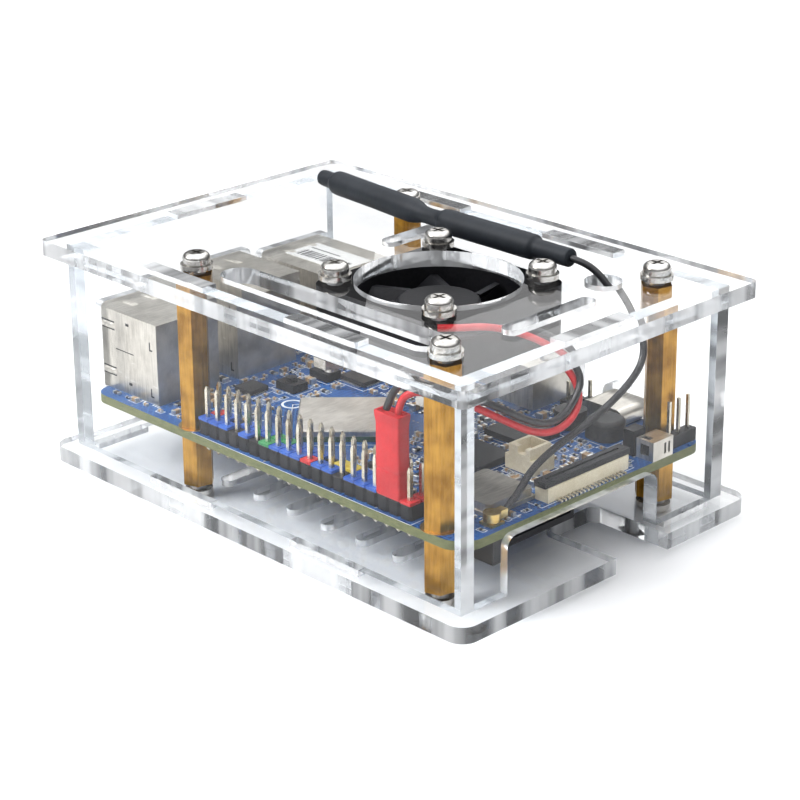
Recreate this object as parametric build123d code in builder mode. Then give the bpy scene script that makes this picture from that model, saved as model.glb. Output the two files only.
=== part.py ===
from build123d import *
import math
import os

# A single board computer in a clear box of laser-cut sheets, with a fan and a stick antenna.
# Millimetres. X runs along the board from the USB end to the display end, Y from the pin
# header to the video side, Z up. The origin is under the middle of the base sheet, at the
# level of the four screw heads that the box stands on.

# ---- sheets and heights -------------------------------------------------------------
SHEET = 2.8
PLATE_X, PLATE_Y = 102.0, 69.0
WALL_X, WALL_Y = 95.0, 62.6            # over the outer faces of the walls
HEAD_H = 1.5                           # the screw heads that the base stands on
LOWER_H, UPPER_H = 8.8, 25.0           # standoff lengths
BOARD_T = 1.6
BASE_TOP = HEAD_H + SHEET
BOARD_BOTTOM = BASE_TOP + LOWER_H
BOARD_TOP = BOARD_BOTTOM + BOARD_T
LID_BOTTOM = BOARD_TOP + UPPER_H
LID_TOP = LID_BOTTOM + SHEET
WALL_H = LID_BOTTOM - BASE_TOP
WALL_IN_X = WALL_X / 2 - SHEET
WALL_IN_Y = WALL_Y / 2 - SHEET
WALL_MID_X = WALL_X / 2 - SHEET / 2
WALL_MID_Y = WALL_Y / 2 - SHEET / 2

# ---- board --------------------------------------------------------------------------
BOARD_X, BOARD_Y = 89.0, 56.2
HOLE_DX, HOLE_DY = 58.0, 49.0
HOLES_AT = (9.5, -0.85)
HOLE_R = 1.4
HEX = 4.8                              # standoff across flats
SCREW_R = 1.2
TAPPED_R = 1.22
LID_HEAD_R = 2.35

# ---- fan ----------------------------------------------------------------------------
FAN_AT = (12.8, -0.9)
FAN_SIZE, FAN_H, FAN_BORE_R = 30.0, 10.0, 14.0
FAN_PITCH = 24.0
FAN_BOTTOM = LID_BOTTOM - FAN_H
HUB_R = 7.0
BLADES = 7
TIP_R = 13.3

# ---- pin header ---------------------------------------------------------------------
PITCH = 2.54
PINS = 20
HEADER_AT = (8.7, -24.85)
HEADER_BASE_H = 2.54
PIN = 0.64
PIN_TOP = BOARD_TOP + 8.4

# ---- ports --------------------------------------------------------------------------
USB_X0, USB_LEN, USB_W, USB_H = -47.0, 16.6, 13.7, 14.8
USB_Y = (-17.9, 0.2)
NET_Y, NET_LEN, NET_W, NET_H = 18.9, 21.0, 15.8, 13.4
HDMI_X, HDMI_Y0, HDMI_W, HDMI_D, HDMI_H = 8.3, 17.8, 14.6, 11.4, 5.8
POWER_X, POWER_W, POWER_D, POWER_H = 27.5, 9.0, 7.4, 3.3
AUDIO_X, AUDIO_W, AUDIO_D, AUDIO_H = -9.0, 7.0, 12.0, 5.4

# ---- cords --------------------------------------------------------------------------
LEAD_D = 1.2
COAX_D = 1.2
ANT_R = 2.25
ANT_Z = LID_TOP + ANT_R + 0.02

os.makedirs("parts", exist_ok=True)
BOTTOM = (Align.CENTER, Align.CENTER, Align.MIN)


def at(x, y, z=0.0):
    return Locations((x, y, z))


def corners(dx, dy, centre, z):
    """The four corners of a rectangle about centre, at height z."""
    cx, cy = centre
    return Locations(*[(cx + sx * dx / 2, cy + sy * dy / 2, z) for sx in (-1, 1) for sy in (-1, 1)])


def save(part, name):
    part.label = name
    export_step(part, f"parts/{name}.step")


def cord(points, diameter, name):
    """A tube along straight runs joined by arcs as large as the runs allow."""
    path = [Vector(*p) for p in points]
    radii = []
    for before, here, after in zip(path, path[1:], path[2:]):
        run_in, run_out = here - before, after - here
        turn = math.radians(run_in.get_angle(run_out))
        radii.append(0.45 * min(run_in.length, run_out.length) / math.tan(turn / 2))
    print(name, "bend radii:", [round(r, 1) for r in radii])
    with BuildPart() as tube:
        with BuildLine() as line:
            FilletPolyline(*points, radius=radii)
        start = line.wires()[0] ^ 0
        with BuildSketch(Plane(start.position, z_dir=start.z_axis.direction)):
            Circle(diameter / 2)
        sweep()
    expected = math.pi * diameter**2 / 4 * line.wires()[0].length
    print(name, "length", round(line.wires()[0].length, 1), "volume ratio", round(tube.part.volume / expected, 3))
    save(tube.part, name)


# ---- clear sheets -------------------------------------------------------------------
TAB_L = 16.0
LONG_TABS = (-19.0, 17.0)              # X of the tabs on the front and back walls
LID_SIDE_TAB, BASE_SIDE_TAB = -0.9, 22.0
FIT = 0.15                             # the saw kerf left round each tab


def tab_slots(side_y, z):
    """Slots through a plate for the wall tabs: two front, two back, one at each end."""
    long_slot = (TAB_L + FIT, SHEET + FIT)
    with Locations(*[(x, s * WALL_MID_Y, z) for x in LONG_TABS for s in (-1, 1)]):
        Box(*long_slot, SHEET, align=BOTTOM, mode=Mode.SUBTRACT)
    with Locations(*[(s * WALL_MID_X, y, z) for s, y, _ in side_y]):
        Box(long_slot[1], side_y[0][2] + FIT, SHEET, align=BOTTOM, mode=Mode.SUBTRACT)


with BuildPart() as bottom_plate:
    with BuildSketch(Plane.XY.offset(HEAD_H)):
        RectangleRounded(PLATE_X, PLATE_Y, 3.0)
        with Locations(*[(-16.7 + 8.4 * i, -12.4) for i in range(6)]):
            SlotOverall(20.0, 2.6, rotation=90, mode=Mode.SUBTRACT)
        with Locations((PLATE_X / 2 - 7.0, 6.8)):
            RectangleRounded(18.0, 12.8, 2.0, mode=Mode.SUBTRACT)
        with Locations((PLATE_X / 2, 6.8)):
            Rectangle(4.0, 12.8, mode=Mode.SUBTRACT)
        with Locations(HOLES_AT):
            with GridLocations(HOLE_DX, HOLE_DY, 2, 2):
                Circle(HOLE_R, mode=Mode.SUBTRACT)
    extrude(amount=SHEET)
    tab_slots([(1, BASE_SIDE_TAB, 11.0), (-1, -BASE_SIDE_TAB, 11.0)], HEAD_H)
save(bottom_plate.part, "bottom_plate")

with BuildPart() as top_plate:
    with BuildSketch(Plane.XY.offset(LID_BOTTOM)):
        RectangleRounded(PLATE_X, PLATE_Y, 1.2)
        with Locations(FAN_AT):
            Circle(FAN_BORE_R, mode=Mode.SUBTRACT)
            with GridLocations(FAN_PITCH, FAN_PITCH, 2, 2):
                Circle(HOLE_R, mode=Mode.SUBTRACT)
        with Locations(HOLES_AT):
            with GridLocations(HOLE_DX, HOLE_DY, 2, 2):
                Circle(HOLE_R, mode=Mode.SUBTRACT)
        with Locations((9.9, -22.4)):
            SlotOverall(50.2, 6.6, mode=Mode.SUBTRACT)
        with Locations((37.3, -1.0)):
            SlotOverall(20.5, 3.0, rotation=90, mode=Mode.SUBTRACT)
        with Locations((-7.2, 14.0)):
            SlotOverall(16.0, 3.0, rotation=90, mode=Mode.SUBTRACT)
        with Locations((32.9, 16.9)):
            Circle(3.15, mode=Mode.SUBTRACT)
    extrude(amount=SHEET)
    tab_slots([(1, LID_SIDE_TAB, TAB_L), (-1, LID_SIDE_TAB, TAB_L)], LID_BOTTOM)
save(top_plate.part, "top_plate")


def long_wall(side):
    """The front or back wall, with two tabs into the base and two into the lid."""
    with at(0, side * WALL_MID_Y, BASE_TOP):
        Box(WALL_X, SHEET, WALL_H, align=BOTTOM)
    with Locations(*[(x, side * WALL_MID_Y, z) for x in LONG_TABS for z in (HEAD_H, LID_BOTTOM)]):
        Box(TAB_L, SHEET, SHEET, align=BOTTOM)


def end_wall(side, base_tab_y):
    """An end wall between the long walls, with one tab into the base and one into the lid."""
    with at(side * WALL_MID_X, 0, BASE_TOP):
        Box(SHEET, 2 * WALL_IN_Y, WALL_H, align=BOTTOM)
    with at(side * WALL_MID_X, base_tab_y, HEAD_H):
        Box(SHEET, 11.0, SHEET, align=BOTTOM)
    with at(side * WALL_MID_X, LID_SIDE_TAB, LID_BOTTOM):
        Box(SHEET, TAB_L, SHEET, align=BOTTOM)


def window(plane, centre, width, height, radius):
    """A round-cornered opening cut through the wall that lies on plane."""
    with BuildSketch(plane) as outline:
        with Locations(centre):
            RectangleRounded(width, height, radius)
    extrude(outline.sketch, amount=SHEET, both=True, mode=Mode.SUBTRACT)


with BuildPart() as front_wall:
    long_wall(-1)
save(front_wall.part, "front_wall")

BACK_FACE = Plane((0, WALL_MID_Y, 0), x_dir=(1, 0, 0), z_dir=(0, -1, 0))
with BuildPart() as back_wall:
    long_wall(1)
    window(BACK_FACE, (HDMI_X, BOARD_TOP + 3.0), 16.6, 7.6, 1.5)
    window(BACK_FACE, (POWER_X, BOARD_TOP + 1.9), 11.0, 5.2, 2.2)
    window(BACK_FACE, (AUDIO_X, BOARD_TOP + 2.9), 8.0, 8.0, 3.9)
save(back_wall.part, "back_wall")

LEFT_FACE = Plane((-WALL_MID_X, 0, 0), x_dir=(0, 1, 0), z_dir=(1, 0, 0))
with BuildPart() as left_wall:
    end_wall(-1, -BASE_SIDE_TAB)
    for usb_y in USB_Y:
        window(LEFT_FACE, (usb_y, BOARD_TOP + USB_H / 2 + 0.2), USB_W + 1.4, USB_H + 1.6, 1.0)
    window(LEFT_FACE, (NET_Y, BOARD_TOP + NET_H / 2 + 0.2), NET_W + 1.2, NET_H + 1.6, 1.0)
save(left_wall.part, "left_wall")

RIGHT_FACE = Plane((WALL_MID_X, 0, 0), x_dir=(0, 1, 0), z_dir=(1, 0, 0))
CARD_WINDOW = (-21.1, 14.4, BOARD_BOTTOM + 0.8)
with BuildPart() as right_wall:
    end_wall(1, BASE_SIDE_TAB)
    window_y = (CARD_WINDOW[0] + CARD_WINDOW[1]) / 2
    window_w = CARD_WINDOW[1] - CARD_WINDOW[0]
    window_h = CARD_WINDOW[2] - BASE_TOP
    window(RIGHT_FACE, (window_y, BASE_TOP + window_h / 2), window_w, window_h, 2.0)
    with BuildSketch(RIGHT_FACE):
        with Locations((window_y, BASE_TOP + 1.5)):
            Rectangle(window_w, 3.0)
    extrude(amount=SHEET, both=True, mode=Mode.SUBTRACT)
save(right_wall.part, "right_wall")

# ---- standoffs and screws -----------------------------------------------------------
HEX_TURN = 16.0                        # turns one edge of each hexagon to the front corner
STUD_H = 5.5

with BuildPart() as lower_standoffs:
    with BuildSketch(Plane.XY.offset(BASE_TOP)):
        with Locations(HOLES_AT):
            with GridLocations(HOLE_DX, HOLE_DY, 2, 2):
                RegularPolygon(HEX / 2, 6, major_radius=False, rotation=HEX_TURN)
    extrude(amount=LOWER_H)
    with corners(HOLE_DX, HOLE_DY, HOLES_AT, BOARD_BOTTOM):
        Cylinder(SCREW_R, STUD_H, align=BOTTOM)
    with corners(HOLE_DX, HOLE_DY, HOLES_AT, BASE_TOP):
        Cylinder(TAPPED_R, 5.5, align=BOTTOM, mode=Mode.SUBTRACT)
save(lower_standoffs.part, "lower_standoffs")

with BuildPart() as upper_standoffs:
    with BuildSketch(Plane.XY.offset(BOARD_TOP)):
        with Locations(HOLES_AT):
            with GridLocations(HOLE_DX, HOLE_DY, 2, 2):
                RegularPolygon(HEX / 2, 6, major_radius=False, rotation=HEX_TURN)
    extrude(amount=UPPER_H)
    with corners(HOLE_DX, HOLE_DY, HOLES_AT, BOARD_TOP):
        Cylinder(TAPPED_R, 6.0, align=BOTTOM, mode=Mode.SUBTRACT)
    with corners(HOLE_DX, HOLE_DY, HOLES_AT, LID_BOTTOM - 6.0):
        Cylinder(TAPPED_R, 6.0, align=BOTTOM, mode=Mode.SUBTRACT)
save(upper_standoffs.part, "upper_standoffs")


def screws(name, places, seat, head_r, head_h, shank_r, shank_l, up):
    """Pan-head cross-recess screws whose heads sit on the height seat, facing up or down."""
    sign = 1 if up else -1
    head_low = seat if up else seat - head_h
    shank_low = seat - shank_l if up else seat
    recess_low = seat + head_h - 0.8 if up else seat - head_h
    with BuildPart() as group:
        with Locations(*[(x, y, head_low) for x, y in places]):
            Cylinder(head_r, head_h, align=BOTTOM)
        rims = group.edges().filter_by(GeomType.CIRCLE).filter_by_position(
            Axis.Z, seat + sign * head_h - 0.01, seat + sign * head_h + 0.01)
        fillet(rims, head_h * 0.55)
        with Locations(*[(x, y, recess_low) for x, y in places]):
            Box(head_r * 1.05, 0.5, 0.8, align=BOTTOM, mode=Mode.SUBTRACT)
            Box(0.5, head_r * 1.05, 0.8, align=BOTTOM, mode=Mode.SUBTRACT)
        with Locations(*[(x, y, shank_low) for x, y in places]):
            Cylinder(shank_r, shank_l, align=BOTTOM)
    save(group.part, name)


def grid_places(dx, dy, centre):
    return [(centre[0] + sx * dx / 2, centre[1] + sy * dy / 2) for sx in (-1, 1) for sy in (-1, 1)]


CASE_PLACES = grid_places(HOLE_DX, HOLE_DY, HOLES_AT)
FAN_PLACES = grid_places(FAN_PITCH, FAN_PITCH, FAN_AT)
WASHER_H = 0.9
screws("lid_screws", CASE_PLACES, LID_TOP + WASHER_H, LID_HEAD_R, 1.9, SCREW_R, WASHER_H + SHEET + 4.5, True)
screws("base_screws", CASE_PLACES, HEAD_H, LID_HEAD_R, HEAD_H, SCREW_R, SHEET + 4.5, False)
screws("fan_screws", FAN_PLACES, LID_TOP + WASHER_H, LID_HEAD_R, 1.9, SCREW_R, WASHER_H + SHEET + FAN_H + 3.0, True)

with BuildPart() as screw_washers:
    with Locations(*[(x, y, LID_TOP) for x, y in CASE_PLACES + FAN_PLACES]):
        Cylinder(2.75, WASHER_H, align=BOTTOM)
        Cylinder(SCREW_R + 0.1, WASHER_H, align=BOTTOM, mode=Mode.SUBTRACT)
save(screw_washers.part, "screw_washers")

with BuildPart() as fan_nuts:
    with BuildSketch(Plane.XY.offset(FAN_BOTTOM - 2.0)):
        with Locations(FAN_AT):
            with GridLocations(FAN_PITCH, FAN_PITCH, 2, 2):
                RegularPolygon(2.5, 6, major_radius=False)
                Circle(TAPPED_R, mode=Mode.SUBTRACT)
    extrude(amount=2.0)
save(fan_nuts.part, "fan_nuts")

# ---- fan ----------------------------------------------------------------------------
SEAT_H = 1.4                           # floor of the motor seat
with BuildPart() as fan_frame:
    with BuildSketch(Plane.XY.offset(FAN_BOTTOM)):
        with Locations(FAN_AT):
            RectangleRounded(FAN_SIZE, FAN_SIZE, 2.6)
            Circle(FAN_BORE_R - 0.1, mode=Mode.SUBTRACT)
            with GridLocations(FAN_PITCH, FAN_PITCH, 2, 2):
                Circle(HOLE_R, mode=Mode.SUBTRACT)
    extrude(amount=FAN_H)
    with BuildSketch(Plane.XY.offset(FAN_BOTTOM)):
        with Locations(FAN_AT):
            Circle(HUB_R)
            for angle in (45, 135, 225, 315):
                with Locations(Rot(0, 0, angle)):
                    with Locations((FAN_BORE_R / 2 + 1, 0)):
                        Rectangle(FAN_BORE_R, 1.8)
    extrude(amount=SEAT_H)
    with Locations(Location((27.6, -13.7, LID_BOTTOM - 2.9), (0, 0, 45))):
        Box(3.8, 1.75, 2.9, align=BOTTOM, mode=Mode.SUBTRACT)
save(fan_frame.part, "fan_frame")

ROTOR_LOW = FAN_BOTTOM + SEAT_H + 0.4
ROTOR_TOP = LID_BOTTOM - 0.8
SHAFT_R, BEARING_R = 0.75, 0.79
with BuildPart() as fan_bearing:
    with at(*FAN_AT, FAN_BOTTOM + SEAT_H):
        Cylinder(2.0, 5.0, align=BOTTOM)
        Cylinder(4.6, 1.6, align=BOTTOM)
        Cylinder(BEARING_R, 5.0, align=BOTTOM, mode=Mode.SUBTRACT)
save(fan_bearing.part, "fan_bearing")

ROTOR_H = ROTOR_TOP - ROTOR_LOW
with BuildPart() as fan_blades:
    with at(*FAN_AT, ROTOR_LOW + ROTOR_H / 2):
        with PolarLocations(10.0, BLADES):
            Box(7.6, 0.8, 12.0, rotation=(48, 0, 0))
        Cylinder(TIP_R, 6.6, mode=Mode.INTERSECT)

with BuildPart() as fan_rotor:
    with at(*FAN_AT, ROTOR_LOW):
        Cylinder(HUB_R, ROTOR_H, align=BOTTOM)
    fillet(fan_rotor.faces().sort_by(Axis.Z)[-1].edges(), 0.6)
    with at(*FAN_AT, ROTOR_LOW):
        Cylinder(HUB_R - 1.0, ROTOR_H - 1.0, align=BOTTOM, mode=Mode.SUBTRACT)
        Cylinder(SHAFT_R, ROTOR_H - 0.5, align=BOTTOM)
    add(fan_blades.part)
save(fan_rotor.part, "fan_rotor")

# ---- circuit board ------------------------------------------------------------------
with BuildPart() as circuit_board:
    with BuildSketch(Plane.XY.offset(BOARD_BOTTOM)):
        RectangleRounded(BOARD_X, BOARD_Y, 3.0)
        with Locations(HOLES_AT):
            with GridLocations(HOLE_DX, HOLE_DY, 2, 2):
                Circle(HOLE_R, mode=Mode.SUBTRACT)
    extrude(amount=BOARD_T)
save(circuit_board.part, "circuit_board")


def block(x, y, z, length, width, height, radius=0.0):
    """A box standing at height z, centred on x and y, its upright edges rounded."""
    with BuildSketch(Plane.XY.offset(z)) as outline:
        with Locations((x, y)):
            if radius:
                RectangleRounded(length, width, radius)
            else:
                Rectangle(length, width)
    extrude(outline.sketch, amount=height)


SOC_AT = (-1.9, -7.9)
with BuildPart() as soc_package:
    with BuildSketch(Plane.XY.offset(BOARD_TOP)):
        with Locations(SOC_AT):
            Rectangle(15.4, 15.4, rotation=45)
    extrude(amount=0.9)
save(soc_package.part, "soc_package")

with BuildPart() as soc_lid:
    with BuildSketch(Plane.XY.offset(BOARD_TOP + 0.9)):
        with Locations(SOC_AT):
            with Locations(Rot(0, 0, 45)):
                RectangleRounded(15.2, 15.2, 0.8)
    extrude(amount=1.1)
    fillet(soc_lid.faces().sort_by(Axis.Z)[-1].edges(), 0.3)
save(soc_lid.part, "soc_lid")

with BuildPart() as memory_chips:
    block(22.6, -3.8, BOARD_TOP, 9.6, 8.2, 1.1)
    block(21.6, 8.6, BOARD_TOP, 9.6, 8.2, 1.1)
save(memory_chips.part, "memory_chips")

with BuildPart() as small_chips:
    block(-24.8, -8.5, BOARD_TOP, 4.2, 4.2, 0.9)
    block(-14.5, 9.0, BOARD_TOP, 6.0, 6.0, 0.9)
    block(16.0, -16.0, BOARD_TOP, 4.0, 3.0, 0.8)
    block(-11.0, 21.5, BOARD_BOTTOM - 1.0, 8.0, 8.0, 1.0)
    block(41.8, -20.7, BOARD_BOTTOM - 4.3, 4.4, 2.7, 4.3)
save(small_chips.part, "small_chips")

with BuildPart() as wifi_module:
    block(35.0, -13.9, BOARD_TOP, 10.8, 10.8, 0.6)
    block(35.0, -13.9, BOARD_TOP + 0.6, 10.3, 10.3, 1.4, 0.8)
save(wifi_module.part, "wifi_module")

# ---- pin header ---------------------------------------------------------------------
with BuildPart() as gpio_base:
    block(*HEADER_AT, BOARD_TOP, PINS * PITCH, 2 * PITCH - 0.1, HEADER_BASE_H - 0.1)
save(gpio_base.part, "gpio_base")


def pin_places(columns, rows=(0, 1)):
    return [(HEADER_AT[0] + (c - 9.5) * PITCH, HEADER_AT[1] + (r - 0.5) * PITCH) for c in columns for r in rows]


with BuildPart() as gpio_pins:
    with Locations(*[(x, y, BOARD_TOP + HEADER_BASE_H - 0.1) for x, y in pin_places(range(PINS))]):
        Box(PIN, PIN, PIN_TOP - BOARD_TOP - HEADER_BASE_H + 0.1, align=BOTTOM)
    with Locations(*[(x, y, BOARD_BOTTOM - 1.6) for x, y in pin_places(range(PINS))]):
        Box(PIN, PIN, 1.6, align=BOTTOM)
save(gpio_pins.part, "gpio_pins")

COLLARS = {
    "collars_blue": ((0, 1, 2, 4, 7, 8, 9, 11, 12, 14, 15, 16), (1, 3, 4, 5, 8, 9, 10, 14, 15, 16)),
    "collars_green": ((6,), (6, 7)),
    "collars_red": ((10, 19), (0, 19)),
    "collars_yellow": ((), (12, 13)),
}
for collar_name, (front_row, back_row) in COLLARS.items():
    with BuildPart() as collars:
        places = pin_places(front_row, (0,)) + pin_places(back_row, (1,))
        with Locations(*[(x, y, BOARD_TOP + HEADER_BASE_H - 0.1) for x, y in places]):
            Box(2.3, 2.3, 0.5, align=BOTTOM)
            Box(PIN, PIN, 0.5, align=BOTTOM, mode=Mode.SUBTRACT)
    save(collars.part, collar_name)

# ---- USB, network, video, power and audio -------------------------------------------
TIN = 0.4
SOCKET_DEPTH = 10.5


def usb_sockets(y):
    """Centres of the two sockets of one stack, as x, y and z of their floors."""
    return [(USB_X0, y, BOARD_TOP + z) for z in (1.1, 8.5)]


for number, usb_y in enumerate(USB_Y, start=1):
    with BuildPart() as usb_shell:
        block(USB_X0 + USB_LEN / 2, usb_y, BOARD_TOP, USB_LEN, USB_W, USB_H)
        for x, y, z in usb_sockets(usb_y):
            with at(x + SOCKET_DEPTH / 2, y, z):
                Box(SOCKET_DEPTH, USB_W - 2 * TIN, 5.4, align=BOTTOM, mode=Mode.SUBTRACT)
    save(usb_shell.part, f"usb_shell_{number}")
    with BuildPart() as usb_insert:
        for x, y, z in usb_sockets(usb_y):
            with at(x + 1.0 + (SOCKET_DEPTH - 1.0) / 2, y, z + 3.2):
                Box(SOCKET_DEPTH - 1.0, 11.2, 1.6, align=BOTTOM)
    save(usb_insert.part, f"usb_tongues_{number}")

NET_X = USB_X0 + NET_LEN / 2
with BuildPart() as ethernet_shell:
    block(NET_X, NET_Y, BOARD_TOP, NET_LEN, NET_W, NET_H)
    with at(NET_X - TIN, NET_Y, BOARD_TOP + TIN):
        Box(NET_LEN, NET_W - 2 * TIN, NET_H - 2 * TIN, align=BOTTOM, mode=Mode.SUBTRACT)
save(ethernet_shell.part, "ethernet_shell")

with BuildPart() as ethernet_insert:
    block(NET_X, NET_Y, BOARD_TOP + TIN, NET_LEN - 1.0, NET_W - 2 * TIN, NET_H - 2 * TIN)
    with at(USB_X0 + 6.0, NET_Y, BOARD_TOP + 2.0):
        Box(12.0, 11.8, 7.4, align=BOTTOM, mode=Mode.SUBTRACT)
    with at(USB_X0 + 6.0, NET_Y, BOARD_TOP + 9.4):
        Box(12.0, 6.2, 1.6, align=BOTTOM, mode=Mode.SUBTRACT)
save(ethernet_insert.part, "ethernet_insert")

with BuildPart() as barcode_label:
    block(NET_X + 1.0, NET_Y, BOARD_TOP + NET_H, 15.0, 8.0, 0.1)
save(barcode_label.part, "barcode_label")

HDMI_MID = HDMI_Y0 + HDMI_D / 2
with BuildPart() as hdmi_shell:
    block(HDMI_X, HDMI_MID, BOARD_TOP, HDMI_W, HDMI_D, HDMI_H)
    with at(HDMI_X, HDMI_Y0 + 5.0 + HDMI_D / 2, BOARD_TOP + 0.5):
        Box(HDMI_W - 1.0, HDMI_D, HDMI_H - 1.0, align=BOTTOM, mode=Mode.SUBTRACT)
save(hdmi_shell.part, "hdmi_shell")

POWER_MID = WALL_IN_Y - POWER_D / 2 + 0.8
with BuildPart() as power_socket:
    block(POWER_X, POWER_MID, BOARD_TOP, POWER_W, POWER_D, POWER_H)
    fillet(power_socket.edges().filter_by(Axis.Y), 1.4)
    with at(POWER_X, POWER_MID + 1.0, BOARD_TOP + 0.35):
        Box(POWER_W - 1.2, POWER_D, POWER_H - 0.7, align=BOTTOM, mode=Mode.SUBTRACT)
save(power_socket.part, "power_socket")

with BuildPart() as port_tongues:
    with at(HDMI_X, HDMI_Y0 + 5.0 + 2.6, BOARD_TOP + 2.5):
        Box(11.4, 5.2, 1.1, align=BOTTOM)
    with at(POWER_X, POWER_MID - 0.5, BOARD_TOP + 1.3):
        Box(6.4, 4.4, 0.7, align=BOTTOM)
save(port_tongues.part, "port_tongues")

with BuildPart() as audio_jack:
    block(AUDIO_X, WALL_IN_Y - AUDIO_D / 2 - 0.2, BOARD_TOP, AUDIO_W, AUDIO_D, AUDIO_H, 0.3)
    with Locations(Location((AUDIO_X, WALL_IN_Y, BOARD_TOP + 2.9), (90, 0, 0))):
        Cylinder(2.7, 3.0)
        Cylinder(1.8, 20.0, mode=Mode.SUBTRACT)
save(audio_jack.part, "audio_jack")

with BuildPart() as power_inductors:
    block(31.6, 18.2, BOARD_TOP, 6.2, 6.2, 3.4, 2.4)
    block(24.4, 17.6, BOARD_TOP, 5.0, 5.0, 3.0, 1.8)
    fillet(power_inductors.faces().filter_by(Plane.XY).group_by(Axis.Z)[-1].edges(), 0.8)
save(power_inductors.part, "power_inductors")

# ---- display, battery, infrared, debug ----------------------------------------------
DISPLAY_X, DISPLAY_Y, DISPLAY_W = 41.85, 0.8, 19.2
DISPLAY_H = 2.5
LATCH_TRAVEL = 0.8
with BuildPart() as display_connector:
    block(DISPLAY_X, DISPLAY_Y, BOARD_TOP, 2.8, DISPLAY_W, DISPLAY_H)
    with at(DISPLAY_X, DISPLAY_Y, BOARD_TOP + 1.0):
        Box(0.5, DISPLAY_W - 2.0, DISPLAY_H, align=BOTTOM, mode=Mode.SUBTRACT)
save(display_connector.part, "display_connector")

with BuildPart() as display_latch:
    block(DISPLAY_X, DISPLAY_Y, BOARD_TOP + DISPLAY_H + 0.02, 2.4, DISPLAY_W + 1.0, 1.0)
    with at(DISPLAY_X, DISPLAY_Y, BOARD_TOP + DISPLAY_H):
        Box(0.5, DISPLAY_W - 2.0, 3.0, align=BOTTOM, mode=Mode.SUBTRACT)
save(display_latch.part, "display_latch")

with BuildPart() as display_contacts:
    with Locations(*[(DISPLAY_X + 1.4 + 0.6, DISPLAY_Y + 0.9 * (i - 8.5), BOARD_TOP) for i in range(18)]):
        Box(1.2, 0.45, 0.3, align=BOTTOM)
save(display_contacts.part, "display_contacts")

BATTERY_AT = (31.6, -0.4)
with BuildPart() as battery_connector:
    block(*BATTERY_AT, BOARD_TOP, 6.2, 5.0, 2.5)
    block(*BATTERY_AT, BOARD_TOP + 2.5, 4.6, 5.0, 1.9)
    with at(BATTERY_AT[0], BATTERY_AT[1] + 0.3, BOARD_TOP + 1.0):
        Box(3.4, 3.6, 4.0, align=BOTTOM, mode=Mode.SUBTRACT)
    with at(BATTERY_AT[0] + 0.5, BATTERY_AT[1] - 2.2, BOARD_TOP + 3.2):
        Box(1.7, 1.8, 2.0, align=BOTTOM, mode=Mode.SUBTRACT)
save(battery_connector.part, "battery_connector")

IR_AT = (42.7, 17.6)
with BuildPart() as ir_receiver:
    block(*IR_AT, BOARD_TOP, 3.0, 4.4, 3.1)
    block(IR_AT[0] - 3.2, IR_AT[1] - 1.4, BOARD_TOP, 2.2, 3.0, 4.4)
save(ir_receiver.part, "ir_receiver")

with BuildPart() as ir_cage:
    block(*IR_AT, BOARD_TOP, 3.6, 5.0, 3.4)
    with at(*IR_AT, BOARD_TOP):
        Box(3.0, 4.4, 3.1, align=BOTTOM, mode=Mode.SUBTRACT)
    with Locations(*[(IR_AT[0] + 1.65, IR_AT[1] + y, BOARD_TOP + 1.7) for y in (0.5, 1.5)]):
        Box(0.6, 0.5, 1.9, mode=Mode.SUBTRACT)
    with at(IR_AT[0], IR_AT[1] - 2.3, BOARD_TOP + 0.8):
        Box(1.8, 0.8, 1.8, align=BOTTOM, mode=Mode.SUBTRACT)
    with at(IR_AT[0] - 0.4, IR_AT[1] - 1.4, BOARD_TOP + 2.9):
        Box(1.6, 1.2, 1.0, align=BOTTOM, mode=Mode.SUBTRACT)
save(ir_cage.part, "ir_cage")

DEBUG_PITCH = 2.4
DEBUG_PINS = [(42.3, 21.6 + DEBUG_PITCH * i) for i in range(3)]
FAN_PINS = [(19.4, 22.6), (19.4, 24.6), (21.7, 25.6)]
with BuildPart() as header_bases:
    block(42.3, 24.0, BOARD_TOP, 1.9, 7.2, 2.2)
    block(19.4, 23.6, BOARD_TOP, 2.0, 4.0, 1.8)
    block(21.7, 25.6, BOARD_TOP, 2.0, 2.0, 1.8)
save(header_bases.part, "header_bases")

with BuildPart() as header_pins:
    with Locations(*[(x, y, BOARD_TOP + 2.2) for x, y in DEBUG_PINS]):
        Box(0.5, 0.5, 6.0, align=BOTTOM)
    with Locations(*[(x, y, BOARD_TOP + 1.8) for x, y in FAN_PINS]):
        Box(0.5, 0.5, 3.4, align=BOTTOM)
save(header_pins.part, "header_pins")

# ---- push buttons -------------------------------------------------------------------
BUTTONS = [(-20.3, -3.0), (-20.1, 4.8)]
BUTTON_R, BUTTON_TRAVEL = 0.95, 0.25
with BuildPart() as switch_bodies:
    for x, y in BUTTONS:
        block(x, y, BOARD_TOP, 4.6, 3.4, 1.5)
    with Locations(*[(x, y, BOARD_TOP + 0.5) for x, y in BUTTONS]):
        Cylinder(BUTTON_R + 0.1, 1.0, align=BOTTOM, mode=Mode.SUBTRACT)
save(switch_bodies.part, "switch_bodies")

for number, (x, y) in enumerate(BUTTONS, start=1):
    with BuildPart() as button:
        with at(x, y, BOARD_TOP + 0.5 + BUTTON_TRAVEL + 0.05):
            Cylinder(BUTTON_R, 1.5, align=BOTTOM)
    save(button.part, f"button_{number}")

# ---- underside ----------------------------------------------------------------------
CARD_SLOT = (35.4, 7.0)
with BuildPart() as card_slot:
    block(*CARD_SLOT, BOARD_BOTTOM - 1.5, 14.4, 13.2, 1.5)
    with at(CARD_SLOT[0] + 2.0, CARD_SLOT[1], BOARD_BOTTOM - 1.2):
        Box(14.4, 11.2, 0.9, align=BOTTOM, mode=Mode.SUBTRACT)
save(card_slot.part, "card_slot")

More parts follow.
